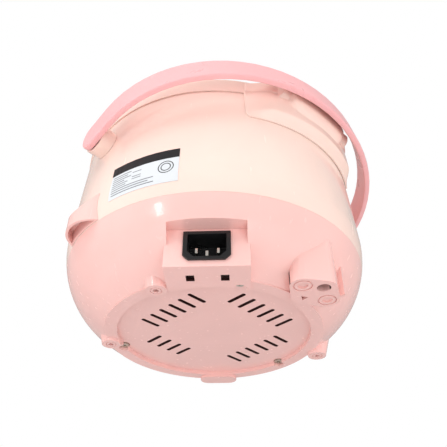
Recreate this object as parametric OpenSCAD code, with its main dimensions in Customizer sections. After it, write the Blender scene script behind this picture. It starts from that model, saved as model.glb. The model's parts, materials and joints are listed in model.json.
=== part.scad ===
// Jar-type electric rice cooker with a swing handle.
// Z is up, the feet stand on z = 0, the body axis is the Z axis.
// The lid hinge is at +Y (rear) and the controls are at -Y (front).

/* [Body] */
// Largest radius of the body wall
body_r = 117.3; // [95:0.1:145]
// How much smaller the radius is at the top edge of the wall
wall_taper = 4.8; // [2:0.1:8]
// Height where the wall is widest
belly_z = 62; // [54:1:75]
// Height of the seam between the bottom shell and the body
seam_z = 45; // [40:1:50]
// Height of the top edge of the body wall
body_top_z = 147; // [122:0.1:180]
// Height of the ring that closes the body above the wall
ring_h = 11; // [11:0.5:14]
// Wall thickness of the plastic shells
wall = 2.5; // [2:0.1:3]
// How much the rounding of the bowl is larger than the height of the belly
bowl_flat = 4; // [3:0.5:8]

/* [Base] */
// Height of the base ring above the standing surface
ring_z = 2; // [1:0.5:3]
// Height of the vent disc above the standing surface
disc_z = 5; // [4:0.5:6]
// Width of the base ring round the vent disc
base_rim = 6.8; // [5:0.1:9]
// Distance of the feet from the edge of the vent disc
feet_out = 7; // [5:0.5:9]
// Radius of a foot where it stands
foot_r = 7; // [5:0.5:8.5]
// Distance of the base screws from the edge of the vent disc
screw_out = 1; // [0:0.5:2]
// Angle of the first base screw
screw_turn = 61; // [50:1:70]

/* [Vents] */
// Length of a vent slot
slot_len = 16; // [10:0.1:20]
// Width of a vent slot
slot_w = 3; // [1.5:0.1:4]
// Distance between two slots
slot_pitch = 9.9; // [7:0.1:12]
// Distance from the outer ends of the slots to the edge of the vent disc
slot_edge = 20.2; // [16:0.1:25]
// Number of slots in a full row
slots = 6; // [3:1:6]
// Angle of the slot pattern
vent_turn = 2; // [0:1:45]
// Shift of the pattern centre towards the hinge
vent_shift = 3.5; // [0:0.5:5]

/* [Power inlet] */
// Direction of the inlet seen from the body axis
inlet_turn = 45; // [40:1:55]
// How far the inlet panel stands behind the widest part of the body
panel_in = 20.8; // [17:0.1:25]
// Height of the inlet centre
inlet_z = 15.8; // [15:0.1:19]
// Width of the inlet flange
flange_w = 30.2; // [29:0.1:36]
// Height of the inlet flange
flange_h = 21.6; // [21:0.1:24]
// Distance between the two outer pins
pin_pitch = 14; // [13:0.5:15]
// Height of the underside of the inlet block
block_z = 0.8; // [0.5:0.1:1.5]
// Space beside the flange on the inlet block
block_side = 11.9; // [9:0.1:15]
// How much the niche above the block is narrower on each side
niche_in = 1.5; // [1:0.1:3]
// Space between the flange and the niche ceiling
niche_over = 2.3; // [1.5:0.1:4]

/* [Handle] */
// Height of the handle pivots below the top edge of the wall
pivot_drop = 22; // [18:0.5:30]
// Distance from the belly to the outside of the handle at its pivots
handle_side = 12.3; // [11:0.1:20]
// Distance from the belly to the outside of the handle at the back
handle_back = 17.2; // [16:0.1:25]
// Straight part of each handle leg
handle_leg = 22; // [10:1:40]
// Width of the handle strap
strap_w = 21.4; // [17:0.1:26]
// Thickness of the handle strap
strap_t = 5; // [4:0.1:6]
// Angle of the folded handle above the horizontal
handle_rest = 12; // [10:1:16]
// Radius of the stub axle of a handle pivot
axle_r = 6; // [4:0.5:7.5]

/* [Hinge] */
// Distance from the top edge of the wall out to the hinge axis
hinge_out = 0.7; // [0.5:0.1:1.5]
// Height of the hinge axis above the top edge of the wall
hinge_up = 4; // [3:0.5:5]
// Largest radius of the hinge knuckle
knuckle_r = 10.1; // [9:0.1:11]
// Radius of the hinge knuckle at its ends
knuckle_end_r = 5.5; // [6.5:0.1:8.5]
// Length of the hinge knuckle
knuckle_w = 61; // [55:0.1:80]
// Radius of the hinge pin
pin_r = 3; // [2.4:0.1:3.6]
// Length of a hinge ear
ear_w = 8; // [6:0.5:10]
// Width of the hinge housing
housing_w = 119; // [99:0.1:130]
// Height of the hinge axis above the lower edge of the housing
housing_drop = 31.5; // [26:0.5:38]

/* [Lid] */
// Height of the closed lid
lid_h = 43; // [36:0.1:56]
// Width of the shoulder between the lid edge and the dome
shoulder_w = 15.3; // [14:0.1:18.5]
// Height of the shoulder
shoulder_h = 7; // [5:0.5:8]
// Distance of the steam cap from the body axis
steam_y = 38; // [30:1:46]
// Radius of the steam cap
steam_r = 19; // [16:0.1:23]

/* [Pot] */
// Space between the top edge of the wall and the metal liner
liner_space = 15.3; // [13:0.1:19]
// Gap between the liner and the pot
pot_gap = 3.2; // [2:0.1:4]
// Wall thickness of the inner pot
pot_t = 1.8; // [1:0.1:3]
// Height of the heating plate surface
plate_z = 60; // [56:1:72]
// How much smaller the heating plate is than the pot
plate_in = 14; // [11:0.5:18]

/* [Controls] */
// Width of the control panel
control_w = 66; // [55:0.1:80]
// Space between the control panel and the top edge of the wall
control_top = 23; // [19:1:28]
// Distance of the lamps from the middle of the panel
lamp_x = 20; // [18:0.5:24]

/* [Label] */
// Height of the label
label_h = 30; // [20:0.5:40]
// Angle that the label takes up
label_turn = 26; // [15:1:30]

/* [Spoon holder] */
// Angle of the spoon holder round the wall
holder_turn = -5; // [-8:1:-4]
// How far the spoon holder stands out of the wall
holder_out = 8.7; // [7:0.1:10]
// Height of the spoon holder
holder_h = 24; // [20:1:28]

/* [Fits] */
// Gap between two moving pieces
gap = 0.6; // [0.4:0.1:1]
// Gap between two fixed pieces
seat = 0.1; // [0.05:0.05:0.2]
// Radial clearance of a running fit
run = 0.06; // [0.03:0.01:0.1]

/* [Hidden] */
$fn = 96;

cream = "#f8d3c6";
shell_pink = "#f3b6ac";
strap_pink = "#f6b9c0";
steel = "#c9cccf";
aluminium = "#b9bcc0";
black = "#1c1c1e";
panel_white = "#efe9e4";
silicone = "#d8d4cf";

body_top_r = body_r - wall_taper;
bowl_arc_r = belly_z + bowl_flat;

// Radius of the bowl at height z, and of the wall above it
function bowl_r(z) = body_r - bowl_arc_r + sqrt(pow(bowl_arc_r, 2) - pow(belly_z - z, 2));
function wall_r(z) = z < belly_z ? bowl_r(z)
    : body_r - wall_taper * (z - belly_z) / (body_top_z - belly_z);

// Base
disc_r = bowl_r(ring_z) - base_rim;
feet_r = disc_r + feet_out;
screw_circle_r = disc_r + screw_out;
row_d = disc_r - slot_edge - slot_len / 2;
floor_in_z = disc_z + wall;

// Power inlet
panel_d = body_r - panel_in;
block_w = flange_w + 2 * block_side;
niche_w = block_w - 2 * niche_in;
niche_z = inlet_z + flange_h / 2 + niche_over;

// Ring, lid and pot
lid_z = body_top_z + ring_h + 1;
lid_r = body_top_r - 0.2;
lid_top = lid_z + lid_h;
dome_r = lid_r - shoulder_w;
dome_z = lid_z + shoulder_h;
under_z = lid_z - 0.4;
ring_top = lid_z - 1;
ring_r = body_top_r + 1;
liner_r = body_top_r - liner_space;
pot_r = liner_r - pot_gap;
rim_r = pot_r + 6.5;
ring_in = liner_r + 1.3;
pot_rim_z = ring_top - 4;
pot_low_z = plate_z + seat;
liner_z = plate_z - 14;
plate_r = pot_r - plate_in;
plunger_r = 14;
spring_low = liner_z + 0.95;

// Handle and hinge
pivot_z = body_top_z - pivot_drop;
handle_half_w = body_r + handle_side;
handle_reach = body_r + handle_back;
strap_in_w = handle_half_w - strap_t;
axle_tip = handle_half_w - 2;
hinge_y = body_top_r + hinge_out;
hinge_z = body_top_z + hinge_up;
ear_r = 6.8;
ear_x0 = knuckle_w / 2 + gap;
ear_x1 = ear_x0 + ear_w;
housing_low_z = hinge_z - housing_drop;
housing_back = hinge_y + 8;
housing_clear = 3;

// Controls
control_z = belly_z + 4;
control_h = body_top_z - control_top - control_z;
lamp_z = control_z + control_h - 16;
lever_z = plate_z - 24;
arm_top_y = -liner_r - 8.8;
arm_y = -min(liner_r + 8.8, bowl_r(lever_z - 6) - 3.02);
arm_step_z = liner_z - 2;
lever_y = arm_y + 18;
key_y = -wall_r(control_z + 8) - 7;
catch_y = -ring_r + 8;
button_y = -ring_r - 9;
fuse_z = liner_z - 3.8;
terminal_angles = [250, 290];

// ---- helpers -------------------------------------------------------------

// A round bar along X
module x_bar(r, x0, x1, y = 0, z = 0) {
    translate([x0, y, z]) rotate([0, 90, 0]) cylinder(r = r, h = x1 - x0);
}

// A round bar along Y
module y_bar(r, y0, y1, x = 0, z = 0) {
    translate([x, y0, z]) rotate([-90, 0, 0]) cylinder(r = r, h = y1 - y0);
}

module box(x0, x1, y0, y1, z0, z1) {
    translate([x0, y0, z0]) cube([x1 - x0, y1 - y0, z1 - z0]);
}

module cylinder_between(r, z0, z1) {
    translate([0, 0, z0]) cylinder(r = r, h = z1 - z0);
}

// A ring between two radii
module ring(r0, r1, z0, z1) {
    translate([0, 0, z0]) difference() {
        cylinder(r = r1, h = z1 - z0);
        translate([0, 0, -1]) cylinder(r = r0, h = z1 - z0 + 2);
    }
}

// The body as a solid, moved outwards by grow
module body_solid(z0, z1, grow = 0) {
    steps = 12;
    low = [for (i = [0:steps]) let (z = z0 + (min(z1, belly_z) - z0) * i / steps)
        [wall_r(z) + grow, z]];
    rotate_extrude() polygon(concat([[0, z0]], low, z1 > belly_z ? [[wall_r(z1) + grow, z1]] : [],
        [[0, z1]]));
}

// An outline with its corners rounded outwards by r, for corners in anticlockwise order
module pad_outline(points, r) {
    n = len(points);
    function edge(i) = let (d = points[(i + 1) % n] - points[i % n]) atan2(d[1], d[0]) - 90;
    polygon([for (i = [0:n - 1]) let (a = edge(i - 1 + n), b = edge(i), turn = (b - a + 720) % 360)
        for (k = [0:8]) points[i] + r * [cos(a + turn * k / 8), sin(a + turn * k / 8)]]);
}

function polar(r, a) = [r * cos(a), r * sin(a)];

// A helical spring: one closed tube of eight sides round the Z axis
module coil(r, wire, h, turns) {
    per = 16;
    n = per * turns;
    sides = 6;
    pts = [for (i = [0:n]) for (k = [0:sides - 1])
        let (a = 360 * i / per, c = 360 * k / sides, d = r + wire * cos(c))
        [d * cos(a), d * sin(a), h * i / n + wire * sin(c)]];
    sidewalls = [for (i = [0:n - 1]) for (k = [0:sides - 1])
        let (a = i * sides + k, b = i * sides + (k + 1) % sides) [a, a + sides, b + sides, b]];
    polyhedron(pts, concat(sidewalls, [[for (k = [0:sides - 1]) k]],
        [[for (k = [sides - 1:-1:0]) n * sides + k]]), convexity = 6);
}

// ---- bottom shell --------------------------------------------------------

small_feet = [polar(feet_r - 1, 19), polar(feet_r, -50), polar(feet_r + 7.5, 157.5)];
wide_foot = [polar(feet_r + 0.5, 219), polar(feet_r + 0.5, 231)];
big_foot = [polar(feet_r + 15.6, 84.5), polar(feet_r + 22.8, 91.5), polar(feet_r + 16, 100),
    polar(feet_r + 6, 92)];
screw_angles = [for (i = [0:2]) screw_turn + 120 * i];

module at_inlet() {
    rotate(inlet_turn) children();
}

// The space in front of the inlet panel, with its side walls and ceiling moved by grow
module niche(grow = 0) {
    at_inlet() box(panel_d - grow, body_r + 20, -niche_w / 2 - grow, niche_w / 2 + grow, -5,
        niche_z + grow);
}

module vent_slots() {
    for (side = [0:3]) {
        missing = side == 3 ? 2 : 0;
        for (i = [missing:slots - 1])
            translate([0, vent_shift, 0]) rotate(vent_turn + 90 * side)
                translate([row_d, (i - (slots - 1) / 2) * slot_pitch, disc_z - 1]) {
                    translate([-(slot_len - slot_w) / 2, -slot_w / 2, 0])
                        cube([slot_len - slot_w, slot_w, wall + 2]);
                    for (e = [-1, 1]) translate([e * (slot_len - slot_w) / 2, 0, 0])
                        cylinder(d = slot_w, h = wall + 2, $fn = 24);
                }
    }
}

module feet_solid() {
    for (p = small_feet) translate([p[0], p[1], 0]) {
        cylinder(r1 = foot_r, r2 = foot_r + 4.5, h = 16);
        translate([0, 0, 16]) cylinder(r = foot_r + 4.5, h = 12);
    }
    linear_extrude(20) pad_outline(wide_foot, foot_r);
    linear_extrude(seam_z) pad_outline(big_foot, foot_r + 1.6);
    rotate(103) box(feet_r + 17, feet_r + 27, -0.9, 0.9, 3, seam_z);
}

module bottom_solid() {
    body_solid(disc_z - 2, seam_z);
    translate([0, 0, ring_z]) cylinder(r = bowl_r(disc_z - 2), h = 3);
    at_inlet() box(disc_r - 4, panel_d, -block_w / 2, block_w / 2, block_z, niche_z);
}

// The hollow of the bottom shell, which goes round the inlet niche
module bottom_hollow() difference() {
    union() {
        body_solid(floor_in_z, seam_z + 1, -wall);
        at_inlet() box(disc_r + 4, panel_d - wall, -block_w / 2 + wall, block_w / 2 - wall,
            block_z + wall, niche_z);
    }
    niche(wall);
}

module bottom_shell() color(shell_pink) difference() {
    union() {
        difference() {
            union() {
                bottom_solid();
                feet_solid();
            }
            bottom_hollow();
            translate([0, 0, seam_z]) cylinder(r = body_r + 40, h = 10);
        }
        for (a = screw_angles) rotate(a) translate([screw_circle_r, 0, floor_in_z - 0.5])
            cylinder(r = 5, h = 12.5);
    }
    niche();
    translate([0, 0, ring_z - 3]) cylinder(r = disc_r, h = disc_z - ring_z + 3);
    vent_slots();
    for (a = screw_angles) rotate(a) translate([screw_circle_r, 0, 0]) {
        cylinder(r = 4.2, h = disc_z + 1);
        cylinder(r = 1.7, h = 30);
    }
    for (s = [-1, 1]) at_inlet() box(panel_d - 16.7, panel_d - 10, s * 11 - 2.7, s * 11 + 2.7, 0, 5);
    at_inlet() translate([panel_d - 10, 0, inlet_z]) rotate([0, 90, 0]) linear_extrude(20)
        socket_outline(socket_w + 0.2, socket_h + 0.2, 4);
    for (p = small_feet) translate([p[0], p[1], -1]) {
        ring(3.4, 4, 0, 1.6);
        cylinder(r = 1.9, h = 10);
    }
    for (i = [0, 2]) translate([big_foot[i][0], big_foot[i][1], -1]) {
        ring(5.4, 6.4, 0, 1.8);
        cylinder(r = 3.4, h = 2);
    }
    translate([big_foot[1][0], big_foot[1][1], -1]) cylinder(r = 4.6, h = 26);
    translate([big_foot[3][0], big_foot[3][1], -1]) cylinder(r = 3, h = 12, $fn = 3);
}

module base_screws() color(steel) for (a = screw_angles)
    rotate(a) translate([screw_circle_r, 0, 0]) difference() {
        union() {
            translate([0, 0, disc_z - 0.9]) cylinder(r = 3.6, h = 1.9);
            cylinder_between(1.6, disc_z, disc_z + 13);
        }
        for (b = [0, 90]) rotate(b) box(-2, 2, -0.4, 0.4, 0, disc_z + 0.2);
    }

// ---- power inlet ---------------------------------------------------------

// A rectangle with its two lower corners cut, drawn with x down and y across
module socket_outline(w, h, c) {
    polygon([[-h / 2, -w / 2], [h / 2 - c, -w / 2], [h / 2, -w / 2 + c], [h / 2, w / 2 - c],
        [h / 2 - c, w / 2], [-h / 2, w / 2]]);
}

socket_w = 27;
socket_h = 19.6;
socket_deep = 16;

module inlet_socket() color(black) at_inlet() translate([panel_d, 0, inlet_z]) rotate([0, 90, 0])
    difference() {
        union() {
            translate([0, 0, seat]) linear_extrude(1.6) socket_outline(flange_w, flange_h, 3.5);
            translate([0, 0, -socket_deep]) linear_extrude(socket_deep + 1)
                socket_outline(socket_w, socket_h, 4);
        }
        translate([0, 0, 1.5 - socket_deep]) linear_extrude(20)
            socket_outline(socket_w - 2.6, socket_h - 2.8, 4);
        for (p = pin_places) translate([p[0] - 2.1, p[1] - 1.1, -20]) cube([4.2, 2.2, 20]);
    }

pin_places = [[0, -pin_pitch / 2], [0, pin_pitch / 2], [4, 0]];
pin_tips = [-4.5, -4.5, -1.6];
pin_back = 24;

module inlet_pins() color(steel) at_inlet() translate([panel_d, 0, inlet_z]) rotate([0, 90, 0])
    for (i = [0:2]) translate([pin_places[i][0] - 2, pin_places[i][1] - 1, -pin_back])
        cube([4, 2, pin_back + pin_tips[i]]);

// ---- outer body ----------------------------------------------------------

module outer_body() color(cream) difference() {
    union() {
        difference() {
            body_solid(seam_z + seat, body_top_z);
            body_solid(seam_z, body_top_z + 1, -wall);
        }
        difference() {
            union() {
                body_solid(seam_z - 4, seam_z + 5, -wall - seat);
                body_solid(seam_z + seat, seam_z + 5, -wall + 0.5);
            }
            body_solid(seam_z - 5, seam_z + 6, -wall - seat - 1.5);
        }
    }
    control_cut();
    for (s = [-1, 1]) x_bar(3, s > 0 ? 90 : -body_r - 20, s > 0 ? body_r + 20 : -90, 0, pivot_z);
    x_bar(knuckle_r + gap, -ear_x0, ear_x0, hinge_y, hinge_z);
    box(-11, 11, arm_top_y - 1, -liner_r, seam_z - 5, seam_z + 6);
}

// The label has a blank field and a plain border
module rating_label() color("#d7dde2") difference() {
    wall_patch(10, 10 + label_turn, seam_z + 9.5, seam_z + 9.5 + label_h, 0, 0.45);
    body_solid(seam_z + seat, body_top_z, 0.03);
}

// A thin patch that lies on the wall between two angles and two heights
module wall_patch(a0, a1, z0, z1, d0, d1) {
    top = min(belly_z, z1);
    zs = concat([z0], z0 < belly_z ? [for (i = [1:3]) z0 + (top - z0) * i / 3] : [],
        belly_z < z1 ? [z1] : []);
    n = len(zs) - 1;
    rotate(a0) rotate_extrude(angle = a1 - a0) polygon(concat(
        [for (i = [0:n]) [wall_r(zs[i]) + d1, zs[i]]],
        [for (i = [n:-1:0]) [wall_r(zs[i]) + d0, zs[i]]]));
}

// A rounded pocket on the wall, open at the bottom
holder_r = 22;
holder_low = seam_z + 0.6;
module holder_post(r, z1) {
    rotate(holder_turn) translate([body_r - holder_r + holder_out, 0, 0])
        cylinder_between(r, holder_low - 1, z1);
}

module spoon_holder() color(shell_pink) difference() {
    intersection() {
        holder_post(holder_r, holder_low + holder_h);
        rotate_extrude() polygon([[body_r - 20, holder_low], [body_r + 20, holder_low],
            [body_r + holder_out + 1, holder_low + 9.5],
            [wall_r(holder_low + holder_h), holder_low + holder_h], [body_r - 20, holder_low + holder_h]]);
    }
    body_solid(holder_low - 2, body_top_z, seat);
    difference() {
        holder_post(holder_r - 1.8, holder_low + 8);
        body_solid(holder_low - 2, body_top_z, 1.2);
    }
}

module top_ring() color(cream) difference() {
    union() {
        difference() {
            translate([0, 0, body_top_z + seat]) cylinder(r = ring_r, h = ring_top - body_top_z - seat);
            translate([0, 0, body_top_z]) cylinder(r = ring_in, h = 30);
            translate([0, 0, pot_rim_z]) cylinder(r = rim_r + 0.8, h = 30);
        }
        ring(body_top_r - wall - 2.5, body_top_r - wall - seat - 0.3, body_top_z - 6, body_top_z + 1);
        latch_block();
    }
    x_bar(knuckle_r + gap, -ear_x0, ear_x0, hinge_y, hinge_z);
    x_bar(ear_r + seat, -ear_x1 - seat, ear_x1 + seat, hinge_y, hinge_z);
    box(-ear_x0, ear_x0, hinge_y, hinge_y + 20, body_top_z - 1, lid_z + 15);
    latch_cut();
}

// ---- hinge ---------------------------------------------------------------

// The space inside the folded handle, moved inwards by t
module inside_handle(t) {
    translate([0, 0, pivot_z]) rotate([handle_rest, 0, 0]) linear_extrude(160, center = true)
        polygon(bow(strap_t + t));
}

module housing_solid() {
    translate([-housing_w / 2, 0, 0]) rotate([90, 0, 90]) linear_extrude(housing_w)
        polygon([[hinge_y - 24, housing_low_z], [wall_r(housing_low_z) + 0.8, housing_low_z],
            [housing_back - 2, housing_low_z + 8], [housing_back, hinge_z - 14],
            [housing_back, hinge_z + 3], [hinge_y - 24, hinge_z + 3]]);
}

module hinge_housing() color(cream) difference() {
    intersection() {
        union() {
            housing_solid();
            for (s = [-1, 1]) x_bar(ear_r, s > 0 ? ear_x0 : -ear_x1, s > 0 ? ear_x1 : -ear_x0,
                hinge_y, hinge_z);
        }
        inside_handle(housing_clear);
    }
    body_solid(seam_z, body_top_z + seat, seat);
    translate([0, 0, body_top_z]) cylinder(r = ring_r + seat, h = ring_top - body_top_z);
    x_bar(knuckle_r + gap, -ear_x0, ear_x0, hinge_y, hinge_z);
    box(-ear_x0, ear_x0, hinge_y - 20, hinge_y + 17, hinge_z, hinge_z + 50);
    x_bar(pin_r + 0.02, -ear_x1 + 2, ear_x1 - 2, hinge_y, hinge_z);
    for (s = [-1, 1]) x_bar(ear_r - 1.2, s > 0 ? ear_x0 - 1 : -ear_x0 - 6,
        s > 0 ? ear_x0 + 6 : -ear_x0 + 1, hinge_y, hinge_z);
}

module hinge_pin() color(steel) x_bar(pin_r, -ear_x1 + 2.2, ear_x1 - 2.2, hinge_y, hinge_z);

module hinge_springs() color(steel) for (s = [-1, 1])
    translate([s > 0 ? ear_x0 + 0.6 : -ear_x0 - 5.4, hinge_y, hinge_z]) rotate([0, 90, 0])
        coil(pin_r + 1.3, 0.55, 4.8, 3);

// ---- handle --------------------------------------------------------------

// Outline of the bow: straight legs and half an ellipse, moved inwards by t
function bow(t) = concat([[handle_half_w - t, 0]],
    [for (a = [0:5:180]) [(handle_half_w - t) * cos(a),
        handle_leg + (handle_reach - handle_leg - t) * sin(a)]], [[-handle_half_w + t, 0]]);

module handle() color(strap_pink) translate([0, 0, pivot_z]) rotate([handle_rest, 0, 0])
    difference() {
        union() {
            translate([0, 0, -strap_w / 2]) linear_extrude(strap_w) difference() {
                polygon(bow(0));
                polygon(concat([[handle_half_w - strap_t, -1]], bow(strap_t),
                    [[-handle_half_w + strap_t, -1]]));
            }
            for (s = [-1, 1]) x_bar(strap_w / 2, s > 0 ? strap_in_w : -handle_half_w,
                s > 0 ? handle_half_w : -strap_in_w);
        }
        for (s = [-1, 1]) x_bar(axle_r + run, s > 0 ? strap_in_w - 1 : -axle_tip - 0.3,
            s > 0 ? axle_tip + 0.3 : -strap_in_w + 1);
    }

module handle_pivots() color(cream) for (s = [0, 1]) mirror([s, 0, 0]) {
    difference() {
        x_bar(strap_w / 2 + 1, wall_r(pivot_z) - 9, strap_in_w - 0.4, 0, pivot_z);
        body_solid(seam_z, body_top_z + seat, seat);
        translate([0, 0, body_top_z]) cylinder(r = ring_r + seat, h = ring_top);
    }
    x_bar(axle_r, strap_in_w - 0.5, axle_tip, 0, pivot_z);
    x_bar(2.9, wall_r(pivot_z) - wall - 4, strap_in_w - 1, 0, pivot_z);
}

// ---- cooking chamber -----------------------------------------------------

module inner_liner() color(steel) difference() {
    union() {
        ring(liner_r, liner_r + 1, liner_z, body_top_z - 0.1);
        ring(liner_r, liner_r + 4, body_top_z - 1.2, body_top_z - 0.1);
        ring(element_r - 5, liner_r + 1, liner_z, liner_z + 1);
    }
    for (a = leg_angles) rotate(a) translate([leg_circle_r, 0, liner_z - 1]) cylinder(r = 2.2, h = 4);
}

module warming_band() color("#8c8f94") ring(liner_r + 1.1, liner_r + 3.1, 80, 104);

leg_angles = [for (i = [0:2]) 30 + 120 * i];
leg_circle_r = plate_r - 14;
element_r = plate_r - 25;
terminal_r = plate_r - 36;

module heating_plate() color(aluminium) difference() {
    union() {
        rotate_extrude() polygon([[plunger_r + 0.5, plate_z - 6], [plate_r - 6, plate_z - 6],
            [plate_r, plate_z - 4], [plate_r, plate_z - 1.2], [plate_r - 1.2, plate_z],
            [plunger_r + 0.5, plate_z]]);
        ring(element_r - 5, element_r + 5, plate_z - 9, plate_z - 5.9);
    }
    for (a = leg_angles) rotate(a) translate([leg_circle_r, 0, plate_z - 7]) cylinder(r = 1.5, h = 5);
}

module element_terminals() color(steel) for (a = terminal_angles) rotate(a) {
    translate([terminal_r, 0, plate_z - 8]) cylinder(r = 3, h = 2);
    box(terminal_r - 1.5, terminal_r + 1.5, -0.5, 0.5, plate_z - 20, plate_z - 8);
}

module plate_legs() color(steel) for (a = leg_angles) rotate(a) translate([leg_circle_r, 0, 0])
    ring(1.7, 4, liner_z + 1.05, plate_z - 6.05);

module plate_screws() color(steel) for (a = leg_angles) rotate(a) translate([leg_circle_r, 0, 0]) {
    cylinder_between(1.45, liner_z - 1, plate_z - 2.5);
    translate([0, 0, liner_z - 2.4]) cylinder(r = 3, h = 2.35);
}

module thermostat_plunger() color(aluminium) {
    translate([0, 0, plate_z - 5]) cylinder(r = plunger_r, h = 4.9);
    cylinder_between(4, plate_z - 34, plate_z - 4.5);
}

module thermostat_sleeve() color(steel) {
    ring(4 + run, 6, plate_z - 30, liner_z + 0.1);
    difference() {
        ring(5.5, element_r - 5.1, liner_z - 0.9, liner_z + 0.1);
        for (a = terminal_angles) rotate(a) box(terminal_r - 2.5, terminal_r + 2.5, -2, 2,
            liner_z - 2, liner_z + 2);
    }
}

module thermostat_spring() color(steel) translate([0, 0, spring_low])
    coil(8.5, 0.7, plate_z - 5.8 - spring_low, 4);

module thermal_fuse() color("#d9d3c4") y_bar(2.6, fuse_y - 20, fuse_y, -20, fuse_z);

module inner_pot() color("#8f9296") rotate_extrude() {
    c = 16;
    n = 8;
    outer = [for (i = [0:n]) [pot_r - c + c * sin(90 * i / n), pot_low_z + c - c * cos(90 * i / n)]];
    inner = [for (i = [n:-1:0]) [pot_r - c + (c - pot_t) * sin(90 * i / n),
        pot_low_z + c - (c - pot_t) * cos(90 * i / n)]];
    polygon(concat([[0, pot_low_z]], outer, [[pot_r, pot_rim_z + seat], [rim_r, pot_rim_z + seat],
        [rim_r, pot_rim_z + 1.6], [pot_r - pot_t, pot_rim_z + 1.6]], inner,
        [[0, pot_low_z + pot_t]]));
}

// ---- controls ------------------------------------------------------------

control_half = asin(control_w / 2 / body_r);
lever_slot_w = 26;

module control_cut() {
    box(-lever_slot_w / 2, lever_slot_w / 2, -body_r - 20, 20 - body_r, control_z + 3, control_z + 23);
    for (s = [-1, 1]) y_bar(3.2, -body_r - 20, 15 - body_r, s * lamp_x, lamp_z);
}

module control_panel() color(panel_white) difference() {
    wall_patch(270 - control_half, 270 + control_half, control_z, control_z + control_h, seat, 3.4);
    control_cut();
}

module lamp(x) {
    intersection() {
        y_bar(3, -body_r - 8, 17 - body_r, x, lamp_z);
        body_solid(seam_z, body_top_z, 3.9);
    }
}

module cook_lamp() color("#e0432f") lamp(-lamp_x);

module warm_lamp() color("#e9a23a") lamp(lamp_x);

// The lever turns on its axle: the key is outside and the long arm reaches
// under the thermostat
module cook_lever() color("#e9e4e0") difference() {
    union() {
        box(-11, 11, key_y, key_y + 10, control_z + 8, control_z + 20);
        box(-9, 9, key_y + 9.5, arm_top_y + 3, control_z + 10, control_z + 16);
        box(-9, 9, arm_top_y, arm_top_y + 3, arm_step_z - 3, control_z + 16);
        box(-9, 9, arm_top_y, arm_y + 3, arm_step_z - 3, arm_step_z);
        box(-9, 9, arm_y, arm_y + 3, lever_z - 4, arm_step_z);
        box(-4, 4, arm_y, -8, lever_z - 4, lever_z - 1);
        box(-4, 4, -12, -8, lever_z - 12, lever_z - 1);
        x_bar(5, -9, 9, lever_y, lever_z);
    }
    x_bar(2 + run, -20, 20, lever_y, lever_z);
}

module lever_axle() color(steel) x_bar(2, -15.5, 15.5, lever_y, lever_z);

module lever_bracket() color(steel) difference() {
    intersection() {
        body_solid(floor_in_z + seat, belly_z, -wall - seat);
        union() {
            for (s = [-1, 1]) box(s * 12.5 - 1, s * 12.5 + 1, lever_y - 6, lever_y + 6, 5, lever_z + 5);
            box(-13.5, 13.5, lever_y - 6, lever_y + 6, lever_z - 18, lever_z - 16);
        }
    }
    x_bar(2.02, -20, 20, lever_y, lever_z);
}

module micro_switch() color(black) {
    box(16, 23, lever_y + 4, lever_y + 24, lever_z - 10, lever_z + 2);
}

// A closed tube of six sides along a smooth curve through the points
module lead(points, r) {
    per = 5;
    n = (len(points) - 1) * per;
    sides = 6;
    path = [for (i = [0:n]) curve_at(points, i / per)];
    rings = [for (i = [0:n]) let (t = unit(path[min(i + 1, n)] - path[max(i - 1, 0)]),
        u = unit(cross(t, [0.3, 0.2, 1])), v = cross(t, u))
        for (k = [0:sides - 1]) path[i] + r * (cos(360 * k / sides) * u + sin(360 * k / sides) * v)];
    sidewalls = [for (i = [0:n - 1]) for (k = [0:sides - 1])
        let (a = i * sides + k, b = i * sides + (k + 1) % sides) [a, b, b + sides, a + sides]];
    polyhedron(rings, concat(sidewalls, [[for (k = [sides - 1:-1:0]) k]],
        [[for (k = [0:sides - 1]) n * sides + k]]), convexity = 6);
}

function unit(v) = v / norm(v);

// A point on the smooth curve through the points, s counts the stretches
function curve_at(points, s) = let (last = len(points) - 1, i = min(floor(s), last - 1), t = s - i,
    p0 = points[max(i - 1, 0)], p1 = points[i], p2 = points[i + 1], p3 = points[min(i + 2, last)])
    0.5 * (2 * p1 + (p2 - p0) * t + (2 * p0 - 5 * p1 + 4 * p2 - p3) * pow(t, 2)
        + (3 * p1 - p0 - 3 * p2 + p3) * pow(t, 3));

inlet_back = panel_d - pin_back - 0.05;
function at_back(y, z, d = 0) = [(inlet_back - d) * cos(inlet_turn) - y * sin(inlet_turn),
    (inlet_back - d) * sin(inlet_turn) + y * cos(inlet_turn), z];
lead_in = 7;
live_y = pin_pitch / 2;
switch_end = lever_y + 24.05;
fuse_y = 13 - element_r;
fuse_end = fuse_y + 0.05;

module mains_leads() color("#b03a2e") {
    lead([at_back(-live_y, inlet_z), at_back(-live_y, inlet_z, lead_in / 2),
        at_back(-live_y, inlet_z, lead_in), [40, 22, 18], [34, -30, 16], [22, switch_end + 16, lever_z - 10],
        [19.5, switch_end + 5, lever_z - 4], [19.5, switch_end, lever_z - 4]], 1.4);
    lead([at_back(live_y, inlet_z), at_back(live_y, inlet_z, lead_in / 2),
        at_back(live_y, inlet_z, lead_in), [20, 36, 28], [-12, 10, 24], [-19, fuse_end + 20, fuse_z - 8],
        [-20, fuse_end + 5, fuse_z], [-20, fuse_end, fuse_z]], 1.4);
    lead([at_back(0, inlet_z - 4), at_back(0, inlet_z - 4, lead_in / 2),
        at_back(0, inlet_z - 4, lead_in), [48, 34, 12], [60, 10, 14], [66, -6, 22], [66, -6, 34]], 1.4);
}

// ---- lid -----------------------------------------------------------------

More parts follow.
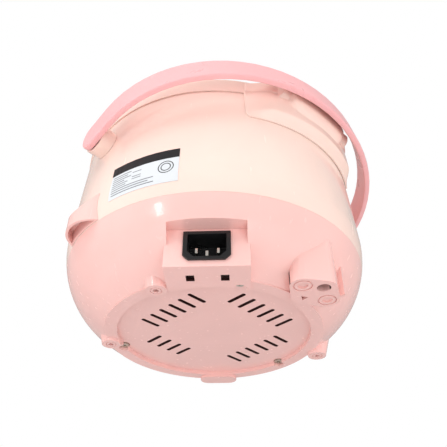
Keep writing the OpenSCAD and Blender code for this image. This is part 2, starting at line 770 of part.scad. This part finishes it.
// Outline of the lid, moved inwards by t
dome_ball_r = (pow(dome_r, 2) + pow(lid_top - dome_z, 2)) / 2 / (lid_top - dome_z);
function lid_outline(t) = concat([[lid_r - t, lid_z], [lid_r - t, lid_z + 2.6 - t * 0.3],
    [lid_r - 7 - t * 0.6, lid_z + 4.6 - t]],
    [for (i = [0:16]) let (a = asin(dome_r / dome_ball_r) * (1 - i / 16))
        [(dome_ball_r - t) * sin(a), lid_top - dome_ball_r + (dome_ball_r - t) * cos(a)]]);

module lid_solid(t) {
    rotate_extrude() polygon(concat([[0, lid_z]], lid_outline(t)));
}

module lid_shell() color(cream) difference() {
    lid_solid(0);
    intersection() {
        lid_solid(wall);
        translate([0, 0, lid_z - 1]) cylinder(r = 200, h = 100);
    }
    translate([0, 0, lid_z - 1]) cylinder(r = lid_r - wall, h = 1.5);
    x_bar(knuckle_r + seat, -knuckle_w / 2 - seat, knuckle_w / 2 + seat, hinge_y, hinge_z);
    translate([0, steam_y, lid_z]) cylinder(r = steam_r + gap, h = lid_h + 10);
}

// Radius of the knuckle at x, a barrel that is thickest in the middle
function knuckle_at(x) = knuckle_end_r + (knuckle_r - knuckle_end_r)
    * sqrt(1 - pow(2 * x / knuckle_w, 2));

module knuckle_barrel() {
    steps = 16;
    translate([0, hinge_y, hinge_z]) rotate([0, 90, 0]) rotate_extrude()
        polygon(concat([[0, -knuckle_w / 2]],
            [for (i = [0:steps]) let (x = knuckle_w / 2 * -cos(180 * i / steps)) [knuckle_at(x), x]],
            [[0, knuckle_w / 2]]));
}

module lid_knuckle() color(cream) difference() {
    union() {
        knuckle_barrel();
        intersection() {
            box(-knuckle_w / 2 + 4, knuckle_w / 2 - 4, hinge_y - 26, hinge_y - 3.5, under_z + 1.3,
                under_z + 3);
            lid_solid(wall + seat);
        }
    }
    x_bar(pin_r + run, -knuckle_w, knuckle_w, hinge_y, hinge_z);
}

module lid_underside() color(panel_white) difference() {
    union() {
        ring(14, lid_r - wall - 0.4, under_z, under_z + 1.2);
        ring(dome_r - 4, dome_r - 2, lid_z - 2.6, under_z + 0.1);
    }
    x_bar(knuckle_r + gap, -knuckle_w / 2 - gap, knuckle_w / 2 + gap, hinge_y, hinge_z);
    box(-8, 8, catch_y - 1, catch_y + 2.5, lid_z - 4, lid_z + 4);
    translate([0, steam_y, lid_z - 20]) cylinder(r = steam_r + 2, h = 60);
}

module lid_heat_plate() color(aluminium) difference() {
    ring(3.3, dome_r - 4.3, lid_z - 3.2, lid_z - 2.2);
    translate([0, steam_y, lid_z - 20]) cylinder(r = 5, h = 60);
}

module lid_plate_stud() color(silicone) {
    cylinder_between(3, lid_z - 4, lid_z + 8);
    translate([0, 0, lid_z - 6]) cylinder(r = 7, h = 2.6);
    ring(2.9, 13.9, under_z, under_z + 1.2);
}

module lid_gasket() color(silicone) rotate_extrude() polygon([[dome_r - 1.9, under_z - 1],
    [dome_r - 1.9, under_z - 0.05], [dome_r + 1.6, under_z - 0.05], [dome_r + 1.6, under_z - 1],
    [dome_r + 0.4, pot_rim_z + 1.7], [dome_r - 0.6, pot_rim_z + 1.7]]);

module steam_cap() color("#f3e6e0") translate([0, steam_y, 0]) difference() {
    union() {
        cylinder_between(steam_r, steam_seat, lid_top - 1);
        translate([0, 0, lid_top - 1]) cylinder(r1 = steam_r, r2 = steam_r - 2, h = 2);
        cylinder_between(7, lid_z - 1, steam_seat + 1);
    }
    cylinder_between(4.4, lid_z - 2, lid_top - 6);
    for (x = [-8, 0, 8]) box(x - 1, x + 1, -6, 6, lid_top - 7, lid_top + 2);
    translate([0, 0, steam_seat - 1]) ring(9, steam_r - 2, 0, lid_top - 3 - steam_seat);
}

steam_seat = lid_z + 16;

module steam_gasket() color("#b9b4ad") translate([0, steam_y, 0]) {
    ring(7.2, steam_r + 1.9, under_z + 0.1, under_z + 1.2);
    ring(7.2, 9.5, lid_z - 2, lid_z + 7);
}

// ---- latch ---------------------------------------------------------------

module latch_block() {
    intersection() {
        box(-19, 19, -ring_r - 8, -rim_r - 1.5, body_top_z + 0.1, ring_top);
        translate([0, 0, body_top_z]) cylinder(r = ring_r + 6, h = 30);
    }
}

module latch_cut() {
    box(-15, 15, -ring_r - 20, -ring_r + 9.5, body_top_z + 2, ring_top - 1.5);
    box(-9, 9, catch_y - 2, catch_y + 3.5, body_top_z + 2, ring_top + 5);
}

module latch_button() color(strap_pink) {
    box(-14.4, 14.4, button_y, -ring_r + 1, body_top_z + 2.6, ring_top - 2.1);
    box(-8, 8, -ring_r + 0.5, catch_y - 3.5, body_top_z + 2.6, body_top_z + 5);
}

module latch_spring() color(steel) for (x = [-11.5, 11.5])
    translate([x, -ring_r + 1.6, (body_top_z + ring_top) / 2]) rotate([-90, 0, 0])
        coil(1.9, 0.4, 7, 4);

module lid_catch() color(panel_white) difference() {
    box(-7, 7, catch_y - 0.5, catch_y + 2, body_top_z + 3, under_z + 1.3);
    box(-5, 5, catch_y - 1, catch_y + 3, body_top_z + 4.5, body_top_z + 7.5);
}

bottom_shell();
base_screws();
inlet_socket();
inlet_pins();
outer_body();
rating_label();
spoon_holder();
top_ring();
hinge_housing();
hinge_pin();
hinge_springs();
handle();
handle_pivots();
inner_liner();
warming_band();
heating_plate();
element_terminals();
plate_legs();
plate_screws();
thermostat_plunger();
thermostat_sleeve();
thermostat_spring();
thermal_fuse();
inner_pot();
control_panel();
cook_lamp();
warm_lamp();
cook_lever();
lever_axle();
lever_bracket();
micro_switch();
mains_leads();
lid_shell();
lid_knuckle();
lid_underside();
lid_heat_plate();
lid_plate_stud();
lid_gasket();
steam_cap();
steam_gasket();
lid_catch();
latch_button();
latch_spring();
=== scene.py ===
"""A jar-type electric rice cooker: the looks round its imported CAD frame. Units are metres."""
import json
import math

import bmesh
import bpy
import numpy as np
from mathutils import Matrix, Vector
from mathutils.bvhtree import BVHTree

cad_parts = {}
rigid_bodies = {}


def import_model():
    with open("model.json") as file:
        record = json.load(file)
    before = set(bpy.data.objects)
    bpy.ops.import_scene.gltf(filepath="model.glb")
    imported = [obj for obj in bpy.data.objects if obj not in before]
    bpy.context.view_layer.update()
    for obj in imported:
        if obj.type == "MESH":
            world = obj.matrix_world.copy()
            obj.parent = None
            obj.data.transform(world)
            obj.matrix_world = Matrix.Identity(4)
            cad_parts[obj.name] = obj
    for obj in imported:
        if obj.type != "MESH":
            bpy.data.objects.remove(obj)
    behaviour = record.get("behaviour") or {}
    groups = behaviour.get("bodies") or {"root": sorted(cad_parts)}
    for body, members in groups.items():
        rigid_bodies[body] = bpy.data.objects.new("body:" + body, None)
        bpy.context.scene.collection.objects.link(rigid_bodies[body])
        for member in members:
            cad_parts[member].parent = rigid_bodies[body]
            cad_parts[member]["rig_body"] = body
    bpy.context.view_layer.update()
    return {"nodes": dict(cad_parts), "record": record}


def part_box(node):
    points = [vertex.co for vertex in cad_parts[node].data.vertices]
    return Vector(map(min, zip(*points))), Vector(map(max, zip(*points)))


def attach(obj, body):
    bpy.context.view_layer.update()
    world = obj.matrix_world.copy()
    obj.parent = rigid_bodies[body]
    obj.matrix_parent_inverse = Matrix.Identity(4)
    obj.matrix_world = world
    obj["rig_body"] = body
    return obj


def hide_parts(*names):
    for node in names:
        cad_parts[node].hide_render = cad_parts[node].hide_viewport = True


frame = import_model()
nodes = frame["nodes"]
MM = 0.001


# ---- camera ---------------------------------------------------------------

# The view comes from below and behind: the turn is that of the base towards
# the camera, the lens is set by the image's angle of view
VIEW_TURN = math.radians(47)
VIEW_RISE = math.radians(-38.05)
VIEW_ANGLE = 2 * math.atan(223.5 / 540)
EYE_OUT, EYE_SIDE, EYE_HEIGHT = 370.3 * MM, 7.0 * MM, -180.6 * MM


def make_camera():
    data = bpy.data.cameras.new("camera")
    data.sensor_width = 36
    data.lens = data.sensor_width / 2 / math.tan(VIEW_ANGLE / 2)
    camera = bpy.data.objects.new("camera", data)
    bpy.context.scene.collection.objects.link(camera)
    out = Vector((math.cos(VIEW_TURN), math.sin(VIEW_TURN), 0))
    side = Vector((-out.y, out.x, 0))
    back = out * math.cos(VIEW_RISE) + Vector((0, 0, math.sin(VIEW_RISE)))
    up = back.cross(side)
    place = Matrix((side, up, back)).transposed().to_4x4()
    place.translation = out * EYE_OUT + side * EYE_SIDE + Vector((0, 0, EYE_HEIGHT))
    camera.matrix_world = place
    bpy.context.scene.camera = camera


make_camera()


# ---- materials ------------------------------------------------------------

def new_material(name):
    material = bpy.data.materials.new(name)
    material.use_nodes = True
    tree = material.node_tree
    shader = tree.nodes["Principled BSDF"]
    return material, tree, shader


def add(tree, kind, inputs=None, **settings):
    made = tree.nodes.new(kind)
    for key, value in settings.items():
        setattr(made, key, value)
    for key, value in (inputs or {}).items():
        if isinstance(value, bpy.types.NodeSocket):
            tree.links.new(value, made.inputs[key])
        else:
            made.inputs[key].default_value = value
    return made


def noise(tree, scale, detail=3.0, rough=0.5, warp=0.0, stretch=None):
    place = add(tree, "ShaderNodeTexCoord").outputs["Object"]
    if stretch:
        place = add(tree, "ShaderNodeMapping", {"Vector": place, "Scale": stretch}).outputs["Vector"]
    made = add(tree, "ShaderNodeTexNoise", {"Vector": place, "Scale": scale, "Detail": detail,
                                            "Roughness": rough, "Distortion": warp})
    return made.outputs["Fac"]


def ramp(tree, value, low, high, to_low=0.0, to_high=1.0):
    return add(tree, "ShaderNodeMapRange", {"Value": value, "From Min": low, "From Max": high,
                                            "To Min": to_low, "To Max": to_high}).outputs["Result"]


def mix(tree, share, first, second):
    made = add(tree, "ShaderNodeMix", data_type="RGBA")
    for socket, value in ((made.inputs["Factor"], share), (made.inputs[6], first),
                          (made.inputs[7], second)):
        if isinstance(value, bpy.types.NodeSocket):
            tree.links.new(value, socket)
        else:
            socket.default_value = value
    return made.outputs[2]


def shade(colour, amount):
    return (*[c * amount for c in colour], 1)


def plastic(name, colour, gloss=0.16, coat=0.35, depth=0.03, subsurface=0.05, wear=0.5, grain=1.0):
    """Moulded plastic: faint flow marks in the colour, orange peel, hairline scratches, dust and
    edges rubbed a little paler."""
    material, tree, shader = new_material(name)
    cloud = noise(tree, 14, 4, 0.55, 0.6)
    blotch = ramp(tree, cloud, 0.35, 0.65)
    toned = mix(tree, blotch, shade(colour, 1 - depth), shade(colour, 1 + depth * 0.6))
    speck = ramp(tree, noise(tree, 900, 2, 0.5), 0.68, 0.74)
    toned = mix(tree, ramp(tree, speck, 0, 1, 0, 0.04), toned, shade(colour, 0.72))
    pointy = add(tree, "ShaderNodeNewGeometry").outputs["Pointiness"]
    edge = ramp(tree, pointy, 0.52, 0.60, 0, wear * 0.35)
    toned = mix(tree, edge, toned, shade([min(1, c * 1.12) for c in colour], 1))
    tree.links.new(toned, shader.inputs["Base Color"])
    smear = ramp(tree, noise(tree, 22, 5, 0.65, 1.2), 0.3, 0.75, gloss * 0.75, gloss * 1.45)
    scratch = ramp(tree, noise(tree, 260, 2, 0.4, 0, (1, 1, 0.05)), 0.66, 0.72, 0, 0.10)
    rough = add(tree, "ShaderNodeMath", {0: smear, 1: scratch}, operation="ADD").outputs[0]
    tree.links.new(rough, shader.inputs["Roughness"])
    peel = noise(tree, 420, 2, 0.4)
    wave = noise(tree, 45, 2, 0.5)
    height = add(tree, "ShaderNodeMath", {0: peel, 1: wave}, operation="MULTIPLY_ADD")
    height.inputs[1].default_value = 0.25
    tree.links.new(wave, height.inputs[2])
    bump = add(tree, "ShaderNodeBump", {"Height": height.outputs[0], "Strength": 0.035 * grain,
                                        "Distance": 0.002})
    tree.links.new(bump.outputs["Normal"], shader.inputs["Normal"])
    shader.inputs["Coat Weight"].default_value = coat
    shader.inputs["Coat Roughness"].default_value = 0.06
    shader.inputs["IOR"].default_value = 1.49
    shader.inputs["Subsurface Weight"].default_value = subsurface
    shader.inputs["Subsurface Radius"].default_value = (0.006, 0.003, 0.002)
    shader.inputs["Subsurface Scale"].default_value = 0.6
    return material


def metal(name, colour, rough=0.28, brushed=None, stain=0.15):
    """Sheet or turned metal: brushed grain, stains and duller patches."""
    material, tree, shader = new_material(name)
    patch = ramp(tree, noise(tree, 60, 5, 0.6, 0.8), 0.35, 0.7)
    toned = mix(tree, patch, shade(colour, 1 - stain), shade(colour, 1))
    pointy = add(tree, "ShaderNodeNewGeometry").outputs["Pointiness"]
    toned = mix(tree, ramp(tree, pointy, 0.5, 0.62, 0, 0.6), toned, shade(colour, 1.15))
    tree.links.new(toned, shader.inputs["Base Color"])
    grain = noise(tree, 700, 3, 0.5, 0, brushed or (1, 1, 1))
    tree.links.new(ramp(tree, grain, 0.3, 0.7, rough * 0.7, rough * 1.4), shader.inputs["Roughness"])
    bump = add(tree, "ShaderNodeBump", {"Height": grain, "Strength": 0.08, "Distance": 0.0006})
    tree.links.new(bump.outputs["Normal"], shader.inputs["Normal"])
    shader.inputs["Metallic"].default_value = 1.0
    return material


CREAM = (0.91, 0.68, 0.60)
PINK = (0.90, 0.54, 0.50)
ROSE = (0.88, 0.45, 0.46)
looks = {
    "body_cream": plastic("body_plastic", CREAM),
    "shell_pink": plastic("shell_plastic", PINK, gloss=0.2),
    "strap_pink": plastic("strap_plastic", ROSE, gloss=0.3, coat=0.12, grain=0.5),
    # painted shade: a near-black plastic that stands for the unlit inside of the shell and body and
    # for the slot and hole walls
    "inside": plastic("inside_painted_shade", (0.045, 0.012, 0.010), 0.6, 0.0, 0.2, 0, 0, 2.0),
    "label_film": plastic("label_film", (0.68, 0.71, 0.74), 0.35, 0.0, 0.02, 0, 0.2, 0.5),
    "label_ink": plastic("label_ink", (0.012, 0.012, 0.014), 0.4, 0.0, 0.2, 0, 0.2, 0.5),
    "label_grey": plastic("label_grey", (0.22, 0.23, 0.25), 0.45, 0.0, 0.2, 0, 0.2, 0.5),
    "inlet_black": plastic("inlet_plastic", (0.010, 0.010, 0.011), 0.3, 0.1, 0.3, 0, 1.2, 1.4),
    "pin_metal": metal("pin_plating", (0.88, 0.85, 0.78), 0.16),
    "steel": metal("zinc_steel", (0.62, 0.58, 0.50), 0.3),
    "aluminium": metal("pressed_aluminium", (0.78, 0.79, 0.80), 0.34, (1, 0.05, 1)),
    "pot_coating": plastic("pot_coating", (0.055, 0.056, 0.06), 0.38, 0.1, 0.3, 0, 0.8, 2.0),
    "panel_white": plastic("panel_plastic", (0.86, 0.80, 0.77), 0.3, 0.15),
    "lamp_red": plastic("red_lens", (0.62, 0.05, 0.03), 0.1, 0.6, 0.1, 0.3),
    "lamp_amber": plastic("amber_lens", (0.80, 0.34, 0.05), 0.1, 0.6, 0.1, 0.3),
    "switch_black": plastic("switch_plastic", (0.02, 0.02, 0.022), 0.4, 0.05, 0.3, 0, 1, 1.4),
    "wire_red": plastic("wire_insulation", (0.50, 0.05, 0.04), 0.35, 0.1, 0.1, 0.1),
    "fuse_sleeve": plastic("glass_sleeve", (0.74, 0.70, 0.60), 0.8, 0.0, 0.2, 0, 0, 8.0),
    "band_grey": plastic("mica_band", (0.35, 0.36, 0.38), 0.5, 0.0, 0.3, 0, 0, 5.0),
    "silicone": plastic("silicone", (0.78, 0.75, 0.70), 0.42, 0.0, 0.05, 0.4, 0, 2.0),
}
slot_of = {p["node"]: p["material_slot"] for p in frame["record"]["subparts"]}


# ---- finer meshes for the CAD nodes ----------------------------------------

FLAT = math.radians(0.6)
CREASE = math.radians(32)


def finer(name, width=0.5 * MM, segments=2):
    """A copy of a CAD node with its flat faces merged and its edges rounded."""
    source = nodes[name]
    mesh = source.data.copy()
    mesh.name = name + "_fine"
    bm = bmesh.new()
    bm.from_mesh(mesh)
    bmesh.ops.remove_doubles(bm, verts=bm.verts, dist=1e-6)
    bmesh.ops.dissolve_limit(bm, angle_limit=FLAT, verts=bm.verts, edges=bm.edges)
    bmesh.ops.recalc_face_normals(bm, faces=bm.faces)
    bm.to_mesh(mesh)
    bm.free()
    piece = bpy.data.objects.new(name + "_skin", mesh)
    bpy.context.scene.collection.objects.link(piece)
    mesh.materials.clear()
    mesh.materials.append(looks[slot_of[name]])
    if width:
        bevel = piece.modifiers.new("edge", "BEVEL")
        bevel.width = width
        bevel.segments = segments
        bevel.limit_method = "ANGLE"
        bevel.angle_limit = CREASE
        bevel.miter_outer = "MITER_ARC"
        bevel.use_clamp_overlap = True
        bake(piece)
    smooth(piece)
    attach(piece, source["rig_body"])
    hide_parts(name)
    return piece


def bake(piece):
    """Applies the piece's modifiers to its mesh."""
    graph = bpy.context.evaluated_depsgraph_get()
    done = bpy.data.meshes.new_from_object(piece.evaluated_get(graph))
    piece.modifiers.clear()
    piece.data = done


def smooth(piece, angle=CREASE):
    mesh = piece.data
    mesh.polygons.foreach_set("use_smooth", [True] * len(mesh.polygons))
    mesh.set_sharp_from_angle(angle=angle)
    weighted = piece.modifiers.new("normals", "WEIGHTED_NORMAL")
    weighted.keep_sharp = True


def new_piece(name, points, faces, material, body):
    mesh = bpy.data.meshes.new(name)
    mesh.from_pydata(points, [], faces)
    mesh.update()
    mesh.materials.append(looks[material])
    piece = bpy.data.objects.new(name, mesh)
    bpy.context.scene.collection.objects.link(piece)
    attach(piece, body)
    return piece


ROUNDED = {
    "bottom_shell": 0.9, "outer_body": 0.4, "top_ring": 0.5, "handle": 1.7, "lid_shell": 0.6,
    "lid_knuckle": 0.8, "spoon_holder": 0.8, "handle_pivots": 0.9, "inlet_socket": 0.35,
    "inlet_pins": 0.35, "base_screws": 0.2, "steam_cap": 0.7, "control_panel": 0.6,
    "cook_lever": 0.9, "latch_button": 0.7, "inner_pot": 0.4,
}


# The faces of the bottom shell painted near-black as painted shade, though they are the same pink
# plastic: the walls of the vent slots lie near the axis in the vent disc, the walls of the two holes
# lie in the floor of the inlet block, which faces 45 degrees
INSIDE_ABOVE = 6 * MM
SLOTS_WITHIN = 66 * MM
SLOTS_LOW, SLOTS_HIGH = 4 * MM, 9 * MM
HOLES_AT, HOLES_APART = 83.2 * MM, 11 * MM
HOLE_HALF_DEEP, HOLE_HALF_WIDE = 3.5 * MM, 2.8 * MM
HOLES_LOW, HOLES_HIGH = 1.2 * MM, 5.2 * MM


def in_slot(middle, normal):
    near = math.hypot(middle.x, middle.y) < SLOTS_WITHIN
    return near and abs(normal.z) < 0.5 and SLOTS_LOW < middle.z < SLOTS_HIGH


def in_hole(middle):
    along = (middle.x + middle.y) / math.sqrt(2) - HOLES_AT
    across = abs(abs(middle.y - middle.x) / math.sqrt(2) - HOLES_APART)
    inside = abs(along) < HOLE_HALF_DEEP and across < HOLE_HALF_WIDE
    return inside and HOLES_LOW < middle.z < HOLES_HIGH


def shade_inside(piece):
    """Slots, holes and the faces of the inside that look inwards or up get the near-black material:
    painted shade, as the inside is the same pink plastic, only unlit.
    """
    mesh = piece.data
    mesh.materials.append(looks["inside"])
    for face in mesh.polygons:
        middle, normal = face.center, face.normal
        out = Vector((middle.x, middle.y, 0))
        inward = out.length > 0 and normal.dot(out.normalized()) < -0.3
        inner_face = (inward or normal.z > 0.3) and middle.z > INSIDE_ABOVE
        if inner_face or in_slot(middle, normal) or in_hole(middle):
            face.material_index = 1


def sheet_faces(columns, rows):
    """The faces of a thick sheet whose points are its inner grid and then its outer grid."""
    wide = columns + 1
    count = wide * (rows + 1)
    faces = []
    for j in range(rows):
        for i in range(columns):
            a = j * wide + i
            faces.append((a, a + wide, a + wide + 1, a + 1))
            faces.append((a + count, a + count + 1, a + count + wide + 1, a + count + wide))
    rim = list(range(wide))
    rim += [j * wide + columns for j in range(1, rows + 1)]
    rim += [rows * wide + i for i in range(columns - 1, -1, -1)]
    rim += [j * wide for j in range(rows - 1, 0, -1)]
    for k, a in enumerate(rim):
        b = rim[(k + 1) % len(rim)]
        faces.append((a, b, b + count, a + count))
    return faces


# ---- hinge housing -----------------------------------------------------------

def step(value):
    value = min(max(value, 0.0), 1.0)
    return value * value * (3 - 2 * value)


BELLY_Z = 62 * MM


def make_housing():
    """One moulding: it swells out of the wall towards the hinge and has a round cover over the
    knuckle, open at the top for the lid."""
    low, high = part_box("hinge_housing")
    knuckle_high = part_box("lid_knuckle")[1]
    pin_low, pin_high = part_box("hinge_pin")
    axis_y, axis_z = (pin_low.y + pin_high.y) / 2, (pin_low.z + pin_high.z) / 2
    knuckle_r = knuckle_high.y - axis_y
    half, reach = high.x, knuckle_high.x
    body_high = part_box("outer_body")[1]
    wall_low, wall_high = body_high.x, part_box("top_ring")[1].x
    cover_r, cover_end, cover_drop = knuckle_r + 1.3 * MM, 8.6 * MM, 25 * MM
    swell_w, swell_h, swell = 16 * MM, 7 * MM, 6.5 * MM
    ear_r, ear_out = 6.8 * MM, pin_high.x + 2 * MM
    wall_gap, shell, rim = 0.15 * MM, 1.2 * MM, 0.6 * MM
    knuckle_gap, knuckle_side = 0.5 * MM, 1 * MM

    def wall_y(x, z):
        share = (z - BELLY_Z) / (body_high.z - BELLY_Z)
        radius = wall_low + (wall_high - 1 * MM - wall_low) * min(share, 1)
        radius = max(radius, wall_high) if z > body_high.z else radius
        return math.sqrt(radius ** 2 - x ** 2) + wall_gap

    def cover_y(x, z):
        if abs(x) >= reach + knuckle_side:
            return 0
        along = math.sqrt(1 - (x / (reach + knuckle_side)) ** 2)
        radius = cover_end + (cover_r - cover_end) * along
        tall = cover_drop * along ** 0.7 if z < axis_z else radius
        depth = 1 - ((z - axis_z) / tall) ** 2
        return axis_y + radius * math.sqrt(depth) - 1 * MM * (1 - along) if depth > 0 else 0

    def ear_y(x, z):
        depth = ear_r ** 2 - (z - axis_z) ** 2
        return axis_y + math.sqrt(depth) if abs(x) < ear_out and depth > 0 else 0

    def outer_y(x, z):
        grow = step((half - abs(x)) / swell_w) * step((z - low.z) / swell_h)
        return max(wall_y(x, z) + shell + swell * grow, cover_y(x, z), ear_y(x, z))

    def inner_y(x, z):
        depth = (knuckle_r + knuckle_gap) ** 2 - (z - axis_z) ** 2
        if abs(x) < reach + knuckle_gap and depth > 0:
            return min(axis_y + math.sqrt(depth), outer_y(x, z) - rim)
        return wall_y(x, z)

    columns, rows, corner = 150, 60, 4 * MM
    points = []
    for side in (inner_y, outer_y):
        for j in range(rows + 1):
            z = low.z + (high.z - low.z) * j / rows
            cut = corner - math.sqrt(max(0, corner ** 2 - max(0, low.z + corner - z) ** 2))
            for i in range(columns + 1):
                x = (half - cut) * (2 * i / columns - 1)
                points.append((x, side(x, z), z))
    faces = sheet_faces(columns, rows)
    piece = new_piece("hinge_housing_skin", points, faces, slot_of["hinge_housing"], "root")
    relax = piece.modifiers.new("relax", "SMOOTH")
    relax.factor, relax.iterations = 0.5, 2
    bake(piece)
    smooth(piece, math.radians(50))
    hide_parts("hinge_housing")


# ---- rating label -------------------------------------------------------------

class Wall:
    """Places points on the outside of the body wall: u along the label, v up it, in metres."""

    def __init__(self):
        mesh = nodes["outer_body"].data
        self.tree = BVHTree.FromPolygons([v.co for v in mesh.vertices],
                                         [p.vertices for p in mesh.polygons])
        angles = [math.atan2(v.co.y, v.co.x) for v in nodes["rating_label"].data.vertices]
        low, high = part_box("rating_label")
        self.turn, self.low = min(angles), low.z
        self.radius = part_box("outer_body")[1].x
        self.wide = (max(angles) - self.turn) * self.radius
        self.high = high.z - low.z

    def at(self, u, v, lift):
        angle = self.turn + u / self.radius
        out = Vector((math.cos(angle), math.sin(angle), 0))
        start = out * (self.radius + 50 * MM) + Vector((0, 0, self.low + v))
        hit, normal, _, _ = self.tree.ray_cast(start, -out)
        return hit + out * lift


def wall_piece(wall, name, outline, columns, rows, lift, thick, material):
    """A thin piece on the wall: outline(s, t) gives u and v for s and t from 0 to 1."""
    points = []
    for level in (lift, lift + thick):
        for j in range(rows + 1):
            for i in range(columns + 1):
                u, v = outline(i / columns, j / rows)
                points.append(wall.at(u, v, level))
    return new_piece(name, points, sheet_faces(columns, rows), material, "root")


def block(u0, u1, v0, v1):
    return lambda s, t: (u0 + (u1 - u0) * s, v0 + (v1 - v0) * t)


def make_label():
    """A pale film with a dark band, a few plain bars and two plain rings, and no lettering."""
    wall = Wall()
    wide, high = wall.wide, wall.high
    film, ink, lift = 0.25 * MM, 0.06 * MM, 0.05 * MM
    plate = wall_piece(wall, "label_plate", block(0, wide, 0, high), 40, 16, lift, film, "label_film")
    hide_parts("rating_label")
    band = 8.2 * MM
    top = lift + film
    wall_piece(wall, "label_band", block(0, wide, high - band, high), 40, 4, top, ink, "label_ink")
    random = np.random.default_rng(4)
    margin, first_row, row_pitch = 2 * MM, 2.4 * MM, 2.05 * MM
    bar_half, value_half = 0.35 * MM, 0.3 * MM
    value_from, value_to = 19 * MM, 26 * MM
    for row in range(9):
        v = high - band - (first_row + row_pitch * row)
        end = (15 if row < 6 else 34) * MM + random.uniform(-3, 3) * MM
        wall_piece(wall, "label_bar_%d" % row, block(margin, end, v - bar_half, v + bar_half), 12, 1,
                   top, ink, "label_grey")
        if row in (1, 3, 4):
            value = block(value_from, value_to, v - value_half, v + value_half)
            wall_piece(wall, "label_value_%d" % row, value, 6, 1, top, ink, "label_grey")
    middle = (wide - 9 * MM, high - band - 8 * MM)
    for number, (outer, inner) in enumerate(((5.6, 5.0), (3.6, 3.0))):
        for half in (0, 1):
            def ring(s, t, outer=outer, inner=inner, half=half):
                angle = math.pi * (s + half)
                radius = (outer + (inner - outer) * t) * MM
                return middle[0] - radius * math.cos(angle), middle[1] + radius * math.sin(angle)
            wall_piece(wall, "label_ring_%d_%d" % (number, half), ring, 20, 1, top, ink, "label_ink")


skins = {}
for cad_name, cad_object in nodes.items():
    cad_object.data.materials.clear()
    cad_object.data.materials.append(looks[slot_of[cad_name]])
for cad_name, radius in ROUNDED.items():
    skins[cad_name] = finer(cad_name, radius * MM)
shade_inside(skins["bottom_shell"])
shade_inside(skins["outer_body"])
make_housing()
make_label()


# ---- stage and light --------------------------------------------------------

def make_stage():
    size, floor_z = 6.0, -0.34
    mesh = bpy.data.meshes.new("floor")
    mesh.from_pydata([(-size, -size, floor_z), (size, -size, floor_z), (size, size, floor_z),
                      (-size, size, floor_z)], [], [(0, 1, 2, 3)])
    floor = bpy.data.objects.new("floor", mesh)
    bpy.context.scene.collection.objects.link(floor)
    material, _, shader = new_material("floor_paint")
    shader.inputs["Base Color"].default_value = (0.86, 0.86, 0.86, 1)
    shader.inputs["Roughness"].default_value = 0.7
    mesh.materials.append(material)


def make_world():
    """An even grey light all round, in front of a plain white ground."""
    world = bpy.data.worlds.new("studio")
    bpy.context.scene.world = world
    world.use_nodes = True
    tree = world.node_tree
    light = tree.nodes["Background"]
    light.inputs["Color"].default_value = (1.0, 0.98, 0.97, 1)
    light.inputs["Strength"].default_value = 0.47
    ground = add(tree, "ShaderNodeBackground", {"Color": (1, 1, 1, 1), "Strength": 1.0})
    seen = add(tree, "ShaderNodeLightPath").outputs["Is Camera Ray"]
    both = add(tree, "ShaderNodeMixShader", {0: seen, 1: light.outputs[0], 2: ground.outputs[0]})
    tree.links.new(both.outputs[0], tree.nodes["World Output"].inputs["Surface"])
    bpy.context.scene.view_settings.view_transform = "Standard"


def soft_box(name, place, aim, width, height, power, colour=(1, 1, 1), glossy=False):
    data = bpy.data.lights.new(name, "AREA")
    data.shape = "RECTANGLE"
    data.size, data.size_y = width, height
    data.energy = power
    data.color = colour
    lamp = bpy.data.objects.new(name, data)
    bpy.context.scene.collection.objects.link(lamp)
    lamp.location = place
    lamp.rotation_mode = "QUATERNION"
    lamp.rotation_quaternion = (Vector(aim) - Vector(place)).to_track_quat("-Z", "Y")
    lamp.visible_camera = False
    lamp.visible_glossy = glossy
    return lamp


def at(turn, out, height):
    """A place given by its turn from the camera's side of the object."""
    angle = VIEW_TURN + math.radians(turn)
    return (out * math.cos(angle), out * math.sin(angle), height)


make_stage()
make_world()
soft_box("key", at(-25, 0.75, 1.0), (0, 0, 0.1), 0.9, 0.9, 10)
soft_box("fill", at(25, 1.0, -0.15), (0, 0, 0.06), 0.6, 0.6, 3.5)
soft_box("left", at(-75, 0.9, -0.05), (0, 0, 0.06), 0.7, 0.5, 3)
soft_box("right", at(75, 0.9, -0.05), (0, 0, 0.06), 0.6, 0.5, 2)
soft_box("window", at(-34, 0.6, 0.02), (0, 0, 0.03), 0.05, 0.14, 0.25, glossy=True)
